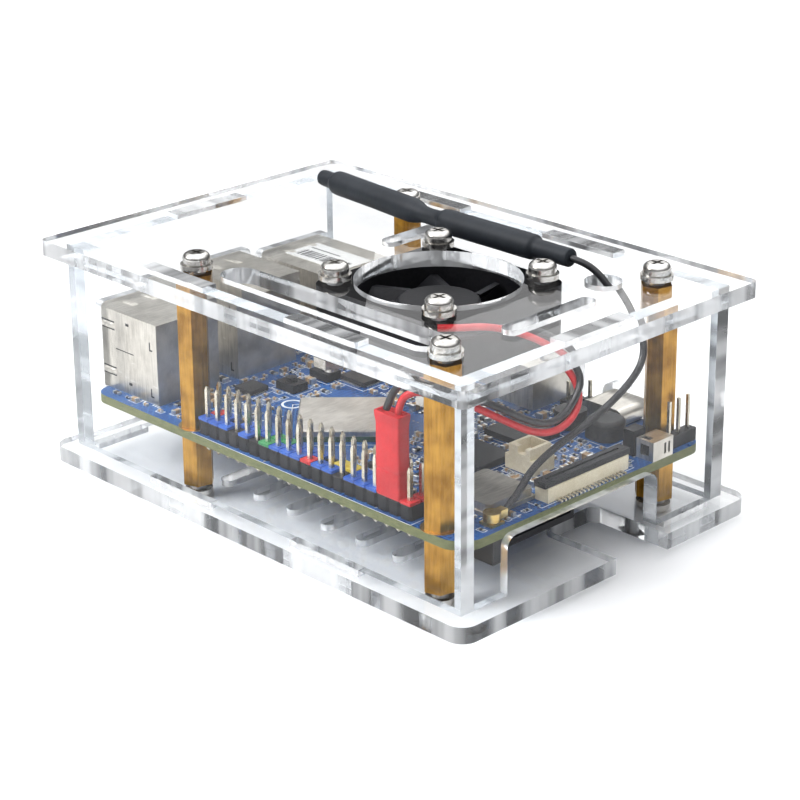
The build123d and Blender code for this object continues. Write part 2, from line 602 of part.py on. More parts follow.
with BuildPart() as expansion_slot:
    block(42.4, -9.8, BOARD_BOTTOM - 3.0, 3.6, 15.2, 3.0)
    with at(42.8, -9.8, BOARD_BOTTOM - 1.9):
        Box(3.6, 13.6, 0.8, align=BOTTOM, mode=Mode.SUBTRACT)
save(expansion_slot.part, "expansion_slot")

# ---- antenna ------------------------------------------------------------------------
ANT_NECK = (-6.4, 16.6)                # the bend between the two thick halves
ANT_TIP = (-38.0, 19.9)
NECK_R, SLEEVE_R = 1.5, 1.6
TIP_HALF = [(0, NECK_R), (2.6, NECK_R), (3.4, ANT_R), (26.8, ANT_R), (27.8, NECK_R), (31.4, NECK_R), (31.8, 1.1)]
LEAD_HALF = [(0, NECK_R), (2.6, NECK_R), (3.4, ANT_R), (24.6, ANT_R), (25.4, SLEEVE_R), (32.5, SLEEVE_R)]


def turned(start, direction, profile):
    """Revolve a profile of (distance, radius) pairs about a level axis."""
    axis_dir = Vector(*direction).normalized()
    side = Plane((*start, ANT_Z), x_dir=axis_dir, z_dir=axis_dir.cross(Vector(0, 0, 1)))
    with BuildSketch(side) as half:
        with BuildLine():
            Polyline((profile[0][0], 0), *profile, (profile[-1][0], 0), close=True)
        make_face()
    revolve(half.sketch, axis=Axis((*start, ANT_Z), axis_dir))


with BuildPart() as antenna_body:
    turned(ANT_NECK, (ANT_TIP[0] - ANT_NECK[0], ANT_TIP[1] - ANT_NECK[1], 0), TIP_HALF)
    turned(ANT_NECK, (1, 0, 0), LEAD_HALF)
    with at(*ANT_NECK, ANT_Z):
        Sphere(NECK_R)
save(antenna_body.part, "antenna_body")

UFL_AT = (42.0, -20.2)
with BuildPart() as antenna_socket:
    block(*UFL_AT, BOARD_TOP, 2.8, 2.8, 0.4)
    with at(*UFL_AT, BOARD_TOP + 0.4):
        Cylinder(0.9, 0.9, align=BOTTOM)
save(antenna_socket.part, "antenna_socket")

PLUG_Z = BOARD_TOP + 1.3
with BuildPart() as antenna_plug:
    with at(*UFL_AT, BOARD_TOP + 0.5):
        Cylinder(1.4, 1.5, align=BOTTOM)
        Cylinder(0.96, 0.9, align=BOTTOM, mode=Mode.SUBTRACT)
    with at(UFL_AT[0], UFL_AT[1] + 1.95, BOARD_TOP + 0.6):
        Box(1.5, 1.7, 1.3, align=BOTTOM)
save(antenna_plug.part, "antenna_plug")

COAX_ROUTE = [
    (26.2, ANT_NECK[1], ANT_Z), (28.6, 17.0, 44.5), (31.0, 17.5, 43.3), (33.0, 17.8, 41.5), (34.8, 18.2, 39.6),
    (36.8, 19.0, 36.6), (38.6, 19.2, 33.2), (39.6, 17.6, 29.9), (39.9, 13.6, 27.2), (40.0, 8.0, 24.9),
    (39.9, 2.0, 23.0), (39.6, -4.4, 21.2), (39.9, -9.4, 19.4), (41.2, -13.4, 17.4), (UFL_AT[0], UFL_AT[1] + 2.95, 16.0),
]
cord(COAX_ROUTE, COAX_D, "antenna_lead")

# ---- fan plug and lead --------------------------------------------------------------
PLUG_COLUMNS = (17, 18)
PLUG_X = HEADER_AT[0] + (sum(PLUG_COLUMNS) / 2 - 9.5) * PITCH
PLUG_Y = HEADER_AT[1] - PITCH / 2
PLUG_LOW = BOARD_TOP + HEADER_BASE_H
PLUG_H = 14.0
PLUG_TOP = PLUG_LOW + PLUG_H
with BuildPart() as fan_plug:
    block(PLUG_X, PLUG_Y, PLUG_LOW, 5.2, 2.5, PLUG_H, 0.2)
    for x, y in pin_places(PLUG_COLUMNS, (0,)):
        with at(x, y, PLUG_LOW):
            Box(PIN + 0.1, PIN + 0.1, 6.4, align=BOTTOM, mode=Mode.SUBTRACT)
save(fan_plug.part, "fan_plug")



def beside(points, angles, gap):
    """Points gap away from a route, turned about it by the angle given for each (0 is above)."""
    path = [Vector(*p) for p in points]
    moved = []
    for i, angle in enumerate(angles):
        along = (path[min(i + 1, len(path) - 1)] - path[max(i - 1, 0)]).normalized()
        above = (Vector(0, 0, 1) - along * along.Z).normalized()
        offset = above * math.cos(math.radians(angle)) + above.cross(along) * math.sin(math.radians(angle))
        moved.append(tuple(path[i] + offset * gap))
    return moved


RED_ROUTE = [
    (26.4, -14.9, 39.0), (29.1, -12.2, 39.0), (30.0, -8.0, 38.4), (31.4, -4.0, 37.1), (33.2, -0.4, 35.4),
    (35.4, 2.4, 33.4), (37.6, 3.6, 30.6), (39.2, 3.0, 27.6), (40.0, 0.0, 25.2), (40.3, -4.6, 24.6),
    (40.3, -9.6, 26.2), (39.8, -14.0, 28.9), (38.6, -17.8, 31.4), (36.4, -21.2, 33.6), (33.9, -23.8, 35.2),
    (31.9, -25.3, 34.9), (30.7, -26.0, 33.4), (PLUG_X + PITCH / 2, PLUG_Y, PLUG_TOP + 0.1),
]
TWIST = (180, 170, 130, 90, 40, 10, 0, -20, -40, -20, 0, 10, 10, 20)
BLACK_ROUTE = beside(RED_ROUTE, TWIST, LEAD_D + 0.3) + [
    (34.4, -23.8, 36.7), (31.4, -24.9, 36.9), (28.9, -25.8, 34.8), (PLUG_X - PITCH / 2, PLUG_Y, PLUG_TOP + 0.1),
]
cord(RED_ROUTE, LEAD_D, "fan_lead_red")
cord(BLACK_ROUTE, LEAD_D, "fan_lead_black")
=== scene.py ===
import bmesh
import bpy
import numpy as np
from mathutils import Matrix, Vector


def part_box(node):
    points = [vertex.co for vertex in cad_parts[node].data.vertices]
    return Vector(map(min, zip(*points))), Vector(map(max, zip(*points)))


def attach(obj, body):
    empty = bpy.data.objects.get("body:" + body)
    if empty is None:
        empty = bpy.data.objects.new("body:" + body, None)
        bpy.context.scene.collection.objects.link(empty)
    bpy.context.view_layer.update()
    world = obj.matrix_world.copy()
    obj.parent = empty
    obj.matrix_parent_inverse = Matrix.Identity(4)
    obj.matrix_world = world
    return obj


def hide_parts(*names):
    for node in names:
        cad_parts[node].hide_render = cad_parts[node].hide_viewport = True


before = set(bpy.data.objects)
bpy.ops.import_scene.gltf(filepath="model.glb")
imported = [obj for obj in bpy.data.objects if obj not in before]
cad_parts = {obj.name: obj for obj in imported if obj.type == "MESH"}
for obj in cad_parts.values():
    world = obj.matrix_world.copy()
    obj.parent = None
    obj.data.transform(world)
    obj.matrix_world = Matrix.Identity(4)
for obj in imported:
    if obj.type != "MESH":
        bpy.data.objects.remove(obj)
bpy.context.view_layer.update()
MM = 0.001
PITCH = 2.54                           # of the pin header, in millimetres
PINS = 20                              # in each row of it
PIN_HALF = 0.32                        # half the width of a header pin
LEAD_D = 1.2                           # diameter of every lead


# ---- shader arithmetic ---------------------------------------------------------------
class Value:
    """A number, colour or vector that varies over a surface; arithmetic on it adds Math nodes."""

    def __init__(self, finish, socket):
        self.finish, self.socket = finish, socket

    def math(self, operation, *rest):
        return self.finish.math(operation, self, *rest)

    def __add__(self, other):
        return self.math("ADD", other)

    def __radd__(self, other):
        return self.finish.math("ADD", other, self)

    def __sub__(self, other):
        return self.math("SUBTRACT", other)

    def __rsub__(self, other):
        return self.finish.math("SUBTRACT", other, self)

    def __mul__(self, other):
        return self.math("MULTIPLY", other)

    def __truediv__(self, other):
        return self.math("DIVIDE", other)

    def __gt__(self, other):
        return self.math("GREATER_THAN", other)

    def __lt__(self, other):
        return self.math("LESS_THAN", other)

    def __abs__(self):
        return self.math("ABSOLUTE")


class Finish:
    """The material of one finish; node() adds any node, and the rest are its short forms."""

    def __init__(self, name):
        self.material = bpy.data.materials.new(name)
        self.material.use_nodes = True
        self.tree = self.material.node_tree
        self.tree.nodes.clear()

    def node(self, kind, settings, inputs, output=0):
        made = self.tree.nodes.new(kind)
        for key, setting in settings.items():
            if key == "stops":
                ramp = made.color_ramp.elements
                while len(ramp) < len(setting):
                    ramp.new(0.5)
                for stop, (place, colour) in zip(ramp, setting):
                    stop.position, stop.color = place, (*colour, 1)
            else:
                setattr(made, key, setting)
        for key, given in inputs.items():
            if isinstance(given, Value):
                self.tree.links.new(given.socket, made.inputs[key])
            else:
                made.inputs[key].default_value = given
        return Value(self, made.outputs[output])

    def math(self, operation, *terms):
        return self.node("ShaderNodeMath", {"operation": operation}, dict(enumerate(terms)))

    def place(self):
        """Object coordinates, in metres."""
        return self.node("ShaderNodeTexCoord", {}, {}, "Object")

    def scaled(self, factors, turn=0.0):
        """Object coordinates multiplied along each axis, turned about Z."""
        inputs = {"Vector": self.place(), "Scale": factors, "Rotation": (0, 0, turn)}
        return self.node("ShaderNodeMapping", {}, inputs)

    def split(self, vector):
        parts = self.node("ShaderNodeSeparateXYZ", {}, {"Vector": vector})
        return [Value(self, s) for s in parts.socket.node.outputs]

    def axes(self):
        return self.split(self.place())

    def facing(self):
        """Each component of the flat face's normal."""
        return self.split(self.node("ShaderNodeNewGeometry", {}, {}, "True Normal"))

    def noise(self, scale, detail=4.0, vector=None, rough=0.5):
        inputs = {"Vector": vector or self.place(), "Scale": scale, "Detail": detail, "Roughness": rough}
        return self.node("ShaderNodeTexNoise", {}, inputs)

    def cells(self, scale, vector=None, feature="F1", output="Distance"):
        inputs = {"Vector": vector or self.place(), "Scale": scale}
        return self.node("ShaderNodeTexVoronoi", {"feature": feature}, inputs, output)

    def ramp(self, value, low, high):
        """Map a number from low..high to 0..1, clamped."""
        inputs = {"Value": value, "From Min": low, "From Max": high}
        return self.node("ShaderNodeMapRange", {"interpolation_type": "SMOOTHSTEP"}, inputs)

    def mix(self, mask, under, over):
        inputs = {0: mask, 6: rgba(under), 7: rgba(over)}
        return self.node("ShaderNodeMix", {"data_type": "RGBA"}, inputs, 2)

    def bump(self, height, depth, strength=1.0):
        inputs = {"Height": height, "Distance": depth, "Strength": strength}
        return self.node("ShaderNodeBump", {}, inputs)

    def surface(self, **sockets):
        inputs = {key.replace("_", " "): rgba(value) if "Color" in key else value
                  for key, value in sockets.items()}
        return self.node("ShaderNodeBsdfPrincipled", {}, inputs)

    def finish(self, shader):
        out = self.tree.nodes.new("ShaderNodeOutputMaterial")
        self.tree.links.new(shader.socket, out.inputs["Surface"])
        return self.material


def rgba(colour):
    """A colour with full alpha; a Value passes through unchanged."""
    return (*colour, 1.0) if isinstance(colour, tuple) and len(colour) == 3 else colour


# ---- finishes ------------------------------------------------------------------------
def clear_sheet(name, thin_axis):
    """Clear acrylic: polished faces, and cut edges with fine grooves across the thickness."""
    f = Finish(name)
    edge = 1 - f.ramp(abs(f.facing()[thin_axis]), 0.4, 0.6)
    stretch = [900.0, 900.0, 900.0]
    stretch[thin_axis] = 60.0
    grooves = f.noise(1.0, 3.0, f.scaled(stretch))
    bands = f.noise(1.0, 2.0, f.scaled([s * 0.2 for s in stretch]))
    haze = f.noise(90.0, 2.0)
    frost = f.ramp(bands, 0.38, 0.62) * 0.45 + 0.15
    glass = f.surface(
        Base_Color=f.mix(edge, (0.98, 0.984, 0.986), (0.955, 0.965, 0.97)),
        Roughness=edge * (grooves * 0.10 + 0.02) + haze * 0.002,
        Normal=f.bump(grooves * edge, 0.00010, 0.4),
        Specular_Tint=(0.25, 0.255, 0.26, 1.0), Transmission_Weight=1.0, IOR=1.42)
    frosted = f.surface(Base_Color=f.mix(bands, (0.62, 0.64, 0.66), (0.95, 0.955, 0.96)), Roughness=0.4,
                        Normal=f.bump(grooves * edge, 0.0001, 0.6))
    solid = f.node("ShaderNodeMixShader", {}, {0: edge * frost, 1: glass, 2: frosted})
    lamp_ray = f.node("ShaderNodeLightPath", {}, {}, "Is Shadow Ray")
    clear = f.node("ShaderNodeBsdfTransparent", {}, {"Color": (0.93, 0.94, 0.95, 1)})
    return f.finish(f.node("ShaderNodeMixShader", {}, {0: lamp_ray, 1: solid, 2: clear}))


def metal(name, dark, light, rough, grain, across=(1, 1, 1), wear=0.35):
    """Metal with a drawn grain, a slow change of tone and slightly worn patches."""
    f = Finish(name)
    drawn = f.noise(grain, 5.0, f.scaled(across))
    patches = f.noise(260.0, 3.0)
    tone = f.ramp(patches * (1 - wear) + drawn * wear, 0.3, 0.7)
    return f.finish(f.surface(
        Base_Color=f.mix(tone, dark, light), Metallic=1.0,
        Roughness=rough + drawn * 0.16 + patches * 0.06,
        Normal=f.bump(drawn, 0.00003, 0.45)))


def moulded(name, colour, lighter, rough=0.42, grain=2600.0, depth=0.00002, coat=0.0,
            shine=0.5):
    """Moulded plastic with a fine spark-eroded texture and faint flow marks."""
    f = Finish(name)
    fine = f.noise(grain, 3.0)
    flow = f.noise(170.0, 2.0)
    return f.finish(f.surface(
        Base_Color=f.mix(f.ramp(flow * 0.6 + fine * 0.4, 0.3, 0.75), colour, lighter),
        Roughness=rough + fine * 0.14 + flow * 0.08,
        Coat_Weight=coat, Specular_IOR_Level=shine,
        Normal=f.bump(fine, depth, 0.5)))


def board_blue():
    """Solder mask over copper: traces, ground pour, plated holes, and the laminate at the edge."""
    f = Finish("board_blue")
    side = 1 - f.ramp(abs(f.facing()[2]), 0.4, 0.6)
    pour = f.ramp(f.noise(85.0, 2.0), 0.42, 0.5)
    runs = None
    for turn, pitch, seed in ((0.0, 620.0, 0.31), (0.7854, 540.0, 0.27), (1.5708, 580.0, 0.24)):
        brick = f.node("ShaderNodeTexBrick", {"offset": 0.5}, {
            "Vector": f.scaled((1, 1, 0), turn), "Scale": pitch, "Mortar Size": 0.09,
            "Mortar Smooth": 0.3, "Brick Width": 7.0, "Row Height": 0.55}, "Fac")
        patch = f.noise(120.0 + 40 * seed, 1.0, f.scaled((1, 1.3, 1), turn + seed))
        window = f.ramp(patch, 0.5, 0.56)
        lines = brick * window
        runs = lines if runs is None else runs.math("MAXIMUM", lines)
    dots = f.cells(520.0, f.scaled((1, 1, 0)))
    hole = 1 - f.ramp(dots, 0.10, 0.14)
    rare = f.ramp(f.cells(520.0, f.scaled((1, 1, 0)), output="Color"), 0.55, 0.6)
    holes = hole * rare
    mask = f.mix(pour, (0.002, 0.040, 0.155), (0.003, 0.068, 0.245))
    traced = f.mix(runs * 0.75, mask, (0.012, 0.130, 0.380))
    plated = f.mix(holes * 0.8, traced, (0.42, 0.40, 0.30))
    cloth = f.noise(900.0, 2.0, f.scaled((1, 1, 4)))
    laminate = f.mix(cloth, (0.09, 0.11, 0.045), (0.27, 0.28, 0.14))
    return f.finish(f.surface(
        Base_Color=f.mix(side, plated, laminate),
        Roughness=0.26 + side * 0.35 + pour * 0.05,
        Coat_Weight=(1 - side) * 0.15,
        Specular_IOR_Level=0.35,
        Normal=f.bump(runs * 0.6 + pour * 0.4 - holes, 0.00004, 0.5)))


def tin_sheet(name, dark=(0.40, 0.375, 0.33), light=(0.78, 0.745, 0.68)):
    """Folded tinned sheet: rolling lines, stains and pale scratches."""
    f = Finish(name)
    rolled = f.noise(1.0, 4.0, f.scaled((2600, 240, 240)))
    stain = f.noise(210.0, 4.0, rough=0.65)
    scratch = f.ramp(f.noise(1.0, 2.0, f.scaled((300, 5200, 900), 0.5)), 0.66, 0.7)
    tone = f.ramp(stain * 0.5 + rolled * 0.5, 0.2, 0.75)
    return f.finish(f.surface(
        Base_Color=f.mix(scratch * 0.3, f.mix(tone, dark, light), (0.9, 0.89, 0.86)), Metallic=0.92,
        Roughness=0.22 + rolled * 0.12 + stain * 0.08,
        Normal=f.bump(rolled * 0.5 + stain * 0.5, 0.00003, 0.4)))


def barcode_label(low, high):
    """White paper with plain bars of mixed widths across a strip of it."""
    f = Finish("label_paper")
    x, y, z = f.axes()
    along = (x - float(low[0])) / float(high[0] - low[0])
    across = (y - float(low[1])) / float(high[1] - low[1])
    widths = f.node("ShaderNodeTexNoise", {"noise_dimensions": "1D"},
                    {"W": along * 34.0, "Scale": 1.0, "Detail": 3.0})
    inside = (along > 0.08) * (along < 0.92) * (across > 0.14) * (across < 0.52)
    bars = f.ramp(widths, 0.47, 0.50) * inside
    rule = (across > 0.66) * (across < 0.72) * (along > 0.08) * (along < 0.6)
    grey = f.noise(700.0, 3.0)
    ink = bars.math("MAXIMUM", rule * 0.7)
    return f.finish(f.surface(
        Base_Color=f.mix(ink, f.mix(grey, (0.74, 0.74, 0.72), (0.88, 0.88, 0.86)), (0.03, 0.03, 0.035)),
        Roughness=0.5 + grey * 0.15, Normal=f.bump(grey, 0.00002, 0.4)))


def printed_ink():
    """White board print, a little uneven at its edges."""
    f = Finish("board_print")
    grain = f.noise(2400.0, 3.0)
    ink = f.mix(grain, (0.60, 0.63, 0.66), (0.86, 0.88, 0.88))
    return f.finish(f.surface(Base_Color=ink, Roughness=0.5 + grain * 0.1))


def studio_floor():
    """Matt pale paper with a faint cloud in it."""
    f = Finish("studio_floor")
    cloud = f.noise(3.0, 2.0)
    pale = f.mix(cloud, (0.86, 0.86, 0.86), (0.90, 0.90, 0.90))
    return f.finish(f.surface(Base_Color=pale, Roughness=0.7 + cloud * 0.1))


BRASS = metal("brass", (0.26, 0.125, 0.016), (0.60, 0.335, 0.065), 0.22, 1.0, (3000, 3000, 160))
SLEEVE = metal("sintered_sleeve", (0.34, 0.20, 0.07), (0.55, 0.36, 0.14), 0.4, 1800.0)
NICKEL = metal("nickel_plate", (0.52, 0.50, 0.47), (0.82, 0.81, 0.78), 0.12, 1400.0)
PIN_PLATE = metal("pin_plate", (0.50, 0.44, 0.33), (0.86, 0.82, 0.72), 0.16, 1.0, (2600, 2600, 260))
GOLD = metal("gold_plate", (0.62, 0.42, 0.14), (0.92, 0.74, 0.36), 0.2, 1500.0)
SATIN_LID = metal("satin_lid", (0.50, 0.47, 0.43), (0.72, 0.69, 0.64), 0.30, 1.0, (2200, 300, 300), 0.5)
TIN = tin_sheet("tinned_sheet")
TIN_ENDS = metal("solder", (0.50, 0.50, 0.50), (0.80, 0.80, 0.79), 0.2, 2200.0)
FAN_BLACK = moulded("fan_black", (0.010, 0.010, 0.012), (0.024, 0.024, 0.027), 0.34, 1900.0, 0.00003,
                    shine=0.2)
BLACK = moulded("black_nylon", (0.008, 0.008, 0.010), (0.024, 0.024, 0.028), 0.36, shine=0.3)
CHIP = moulded("chip_resin", (0.012, 0.012, 0.014), (0.035, 0.035, 0.038), 0.40, 3200.0)
SUBSTRATE = moulded("chip_laminate", (0.02, 0.07, 0.05), (0.04, 0.12, 0.08), 0.35)
BLUE = moulded("blue_nylon", (0.006, 0.075, 0.38), (0.02, 0.14, 0.60), 0.28, coat=0.3)
GREEN = moulded("green_nylon", (0.01, 0.22, 0.06), (0.03, 0.38, 0.12), 0.3, coat=0.3)
RED = moulded("red_nylon", (0.50, 0.006, 0.012), (0.72, 0.02, 0.03), 0.30, 1700.0, 0.00003, 0.3)
YELLOW = moulded("yellow_nylon", (0.62, 0.46, 0.03), (0.82, 0.66, 0.10), 0.3, coat=0.3)
CREAM = moulded("cream_nylon", (0.70, 0.62, 0.45), (0.88, 0.82, 0.66), 0.42)
FERRITE = moulded("ferrite", (0.018, 0.018, 0.019), (0.07, 0.07, 0.07), 0.45, 1500.0, 0.00005)
SHRINK = moulded("heat_shrink", (0.014, 0.018, 0.024), (0.030, 0.036, 0.045), 0.46, 1200.0, 0.00004)
LEAD_RED = moulded("red_insulation", (0.55, 0.008, 0.016), (0.75, 0.03, 0.04), 0.26, 900.0, 0.00002,
                   0.4)
LEAD_BLACK = moulded("black_insulation", (0.008, 0.008, 0.010), (0.022, 0.022, 0.026), 0.26, 900.0,
                     0.00002, 0.4)
TAN = moulded("capacitor_tan", (0.30, 0.19, 0.10), (0.50, 0.36, 0.22), 0.35)
GREY = moulded("resistor_black", (0.015, 0.015, 0.018), (0.05, 0.05, 0.055), 0.3)
INK = printed_ink()

NODE_FINISH = {
    BRASS: ("lower_standoffs", "upper_standoffs"),
    SLEEVE: ("fan_bearing",),
    NICKEL: ("base_screws", "lid_screws", "screw_washers", "fan_screws", "fan_nuts"),
    FAN_BLACK: ("fan_frame", "fan_rotor"),
    SUBSTRATE: ("soc_package",),
    SATIN_LID: ("soc_lid",),
    CHIP: ("memory_chips", "small_chips"),
    TIN: ("wifi_module", "usb_shell_1", "usb_shell_2", "ethernet_shell", "hdmi_shell", "power_socket",
          "ir_cage", "card_slot"),
    GOLD: ("antenna_socket", "antenna_plug"),
    PIN_PLATE: ("gpio_pins", "header_pins", "display_contacts"),
    BLACK: ("gpio_base", "header_bases", "switch_bodies", "expansion_slot", "display_latch",
            "ir_receiver", "audio_jack", "ethernet_insert", "usb_tongues_1", "usb_tongues_2",
            "port_tongues", "button_1", "button_2"),
    BLUE: ("collars_blue",),
    GREEN: ("collars_green",),
    RED: ("collars_red", "fan_plug"),
    YELLOW: ("collars_yellow",),
    CREAM: ("display_connector", "battery_connector"),
    FERRITE: ("power_inductors",),
    SHRINK: ("antenna_body",),
    LEAD_RED: ("fan_lead_red",),
    LEAD_BLACK: ("fan_lead_black", "antenna_lead"),
    board_blue(): ("circuit_board",),
    barcode_label(*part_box("barcode_label")): ("barcode_label",),
    clear_sheet("clear_plate", 2): ("bottom_plate", "top_plate"),
    clear_sheet("clear_long_wall", 1): ("front_wall", "back_wall"),
    clear_sheet("clear_end_wall", 0): ("left_wall", "right_wall"),
}
for finish, names in NODE_FINISH.items():
    for name in names:
        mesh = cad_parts[name].data
        mesh.materials.clear()
        mesh.materials.append(finish)


# ---- mesh helpers --------------------------------------------------------------------
def piece(name, points, faces, finish, slot, smooth=False, body="case", stands_for=()):
    """An object made of points in millimetres, riding on a body; every shell is turned to face
    outwards."""
    mesh = bpy.data.meshes.new(name)
    mesh.from_pydata((np.asarray(points, float) * MM).tolist(), [], [list(f) for f in faces])
    outward = bmesh.new()
    outward.from_mesh(mesh)
    bmesh.ops.recalc_face_normals(outward, faces=outward.faces)
    outward.to_mesh(mesh)
    outward.free()
    mesh.materials.append(finish)
    if smooth:
        mesh.polygons.foreach_set("use_smooth", np.ones(len(mesh.polygons), bool))
    mesh.update()
    made = bpy.data.objects.new(name, mesh)
    bpy.context.scene.collection.objects.link(made)
    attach(made, body)
    if stands_for:
        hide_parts(*stands_for)
    return made


def lathe_faces(rings, around):
    """Quads of a tube of rings x around points, each ring joined to the next, wrapped around."""
    r, a = np.meshgrid(np.arange(rings - 1), np.arange(around), indexing="ij")
    b = (a + 1) % around
    low, high = r * around, (r + 1) * around
    return np.stack([low + a, low + b, high + b, high + a], -1).reshape(-1, 4)


def copies(points, faces, shifts, turns=None):
    """Repeat one small shape at each shift, turned about Z by each angle, as one set of points
    and faces."""
    points, shifts = np.asarray(points, float), np.asarray(shifts, float)
    turns = np.zeros(len(shifts)) if turns is None else np.asarray(turns, float)
    c, s = np.cos(turns)[:, None], np.sin(turns)[:, None]
    x = points[None, :, 0] * c - points[None, :, 1] * s
    y = points[None, :, 0] * s + points[None, :, 1] * c
    z = np.broadcast_to(points[None, :, 2], x.shape)
    every = np.stack([x, y, z], -1) + shifts[:, None, :]
    faces = np.asarray(faces)
    numbered = faces[None] + (np.arange(len(shifts)) * len(points))[:, None, None]
    return every.reshape(-1, 3), numbered.reshape(-1, faces.shape[1])


def tablets(boxes, bevel=0.12, down=False):
    """Chamfered blocks: each row is centre x, y, base z, length, width, height, turn.
    Twelve points each: a foot ring, a ring under the chamfer and an inset top ring."""
    boxes = np.asarray(boxes, float)
    corner = np.array([[-1, -1], [1, -1], [1, 1], [-1, 1]]) / 2
    inset = np.stack([boxes[:, 3:5], boxes[:, 3:5], boxes[:, 3:5] - 2 * bevel], 1)
    xy = corner[None, None] * inset[:, :, None, :]
    c, s = np.cos(boxes[:, 6])[:, None, None], np.sin(boxes[:, 6])[:, None, None]
    turned = np.stack([xy[..., 0] * c - xy[..., 1] * s, xy[..., 0] * s + xy[..., 1] * c], -1)
    rise = np.stack([0 * boxes[:, 5], boxes[:, 5] - bevel, boxes[:, 5]], 1)
    z = np.broadcast_to(((-rise if down else rise) + boxes[:, 2:3])[:, :, None], turned.shape[:3])
    x, y = turned[..., 0] + boxes[:, 0, None, None], turned[..., 1] + boxes[:, 1, None, None]
    points = np.stack([x, y, z], -1).reshape(-1, 3)
    block = [[3, 2, 1, 0], [8, 9, 10, 11]] + lathe_faces(3, 4).tolist()
    block = np.array(block)[:, ::-1] if down else np.array(block)
    return points, (block[None] + 12 * np.arange(len(boxes))[:, None, None]).reshape(-1, 4)


def loft(sections):
    """Closed skin over a stack of equal rings of points, with a fan of faces at each end."""
    sections = np.asarray(sections, float)
    rings, around = sections.shape[:2]
    ends = np.stack([sections[0].mean(0), sections[-1].mean(0)])
    points = np.vstack([sections.reshape(-1, 3), ends])
    a = np.arange(around)
    b = (a + 1) % around
    low, high = rings * around, rings * around + 1
    first = np.stack([b, a, np.full(around, low), np.full(around, low)], -1)
    last = np.stack([a, b, np.full(around, high), np.full(around, high)], -1)
    last[:, :2] += (rings - 1) * around
    faces = lathe_faces(rings, around).tolist() + [f[:3] for f in np.vstack([first, last]).tolist()]
    return points, faces


def rounded_ring(x, y, z, length, width, radius, steps=5):
    """One level ring: a rectangle whose four corners are quarter circles."""
    radius = min(radius, length / 2 - 1e-3, width / 2 - 1e-3)
    turn = np.linspace(0, np.pi / 2, steps)
    rings = []
    for i, (sx, sy) in enumerate(((1, 1), (-1, 1), (-1, -1), (1, -1))):
        angle = turn + i * np.pi / 2
        rings.append(np.stack([
            x + sx * (length / 2 - radius) + radius * np.cos(angle),
            y + sy * (width / 2 - radius) + radius * np.sin(angle),
            np.full(steps, z)], -1))
    return np.vstack(rings)


def millimetres(node):
    """A node's box in millimetres: low corner, high corner."""
    low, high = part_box(node)
    return np.array(low) / MM, np.array(high) / MM


# ---- camera --------------------------------------------------------------------------
EYE = (0.26451, -0.25447, 0.16532)
RIGHT, UP = (0.69692, 0.71709, -0.00913), (-0.24217, 0.24731, 0.93819)
BACK = (0.67502, -0.65163, 0.34601)
lens = bpy.data.cameras.new("camera")
lens.sensor_width, lens.lens = 36.0, 103.9
lens.shift_x, lens.shift_y = 0.0092, -0.0885
lens.clip_start, lens.clip_end = 0.01, 20.0
camera = bpy.data.objects.new("camera", lens)
camera.matrix_world = Matrix([(RIGHT[i], UP[i], BACK[i], EYE[i]) for i in range(3)] + [(0, 0, 0, 1)])
bpy.context.scene.collection.objects.link(camera)
bpy.context.scene.camera = camera

# ---- leads ---------------------------------------------------------------------------
PLUG_LOW, PLUG_HIGH = millimetres("fan_plug")
PLUG_TOP = PLUG_HIGH[2]
BOARD_TOP = millimetres("circuit_board")[1][2]
BOARD_BOTTOM = BOARD_TOP - 1.6
HOLES = [(x, y) for x in (-19.5, 38.5) for y in (-25.35, 23.65)]       # one for each standoff
LID_TOP = millimetres("top_plate")[1][2]

RED_ROUTE = [
    (26.4, -14.9, 39.0), (29.1, -12.2, 39.0), (30.0, -8.0, 38.4), (31.4, -4.0, 37.1), (33.2, -0.4, 35.4),
    (35.4, 2.4, 33.4), (37.6, 3.6, 30.6), (39.2, 3.0, 27.6), (40.0, 0.0, 25.2), (40.3, -4.6, 24.6),
    (40.3, -9.6, 26.2), (39.8, -14.0, 28.9), (38.6, -17.8, 31.4), (36.4, -21.2, 33.6), (33.9, -23.8, 35.2),
    (31.9, -25.3, 34.9), (30.7, -26.0, 33.4), (30.3, -26.12, PLUG_TOP + 0.1),
]
COAX_ROUTE = [
    (26.2, 16.6, 44.77), (28.6, 17.0, 44.5), (31.0, 17.5, 43.3), (33.0, 17.8, 41.5), (34.8, 18.2, 39.6),
    (36.8, 19.0, 36.6), (38.6, 19.2, 33.2), (39.6, 17.6, 29.9), (39.9, 13.6, 27.2), (40.0, 8.0, 24.9),
    (39.9, 2.0, 23.0), (39.6, -4.4, 21.2), (39.9, -9.4, 19.4), (41.2, -13.4, 17.4), (42.0, -17.25, 16.0),
]
TWIST = np.radians([180, 170, 130, 90, 40, 10, 0, -20, -40, -20, 0, 10, 10, 20])


def beside(route, angles, gap):
    """Points a gap away from a route, turned about it by the angle given for each (0 is above).
    Both leads of the fan leave its corner this way, one turning slowly round the other."""
    path = np.array(route)
    n = len(angles)
    along = path[np.minimum(np.arange(n) + 1, len(path) - 1)] - path[np.maximum(np.arange(n) - 1, 0)]
    along /= np.linalg.norm(along, axis=1)[:, None]
    above = np.array([0, 0, 1.0]) - along * along[:, 2:3]
    above /= np.linalg.norm(above, axis=1)[:, None]
    turned = above * np.cos(angles)[:, None] + np.cross(above, along) * np.sin(angles)[:, None]
    return path[:n] + gap * turned


BLACK_ROUTE = [tuple(p) for p in beside(RED_ROUTE, TWIST, LEAD_D + 0.3)] + [
    (34.4, -23.8, 36.7), (31.4, -24.9, 36.9), (28.9, -25.8, 34.8), (27.76, -26.12, PLUG_TOP + 0.1)]


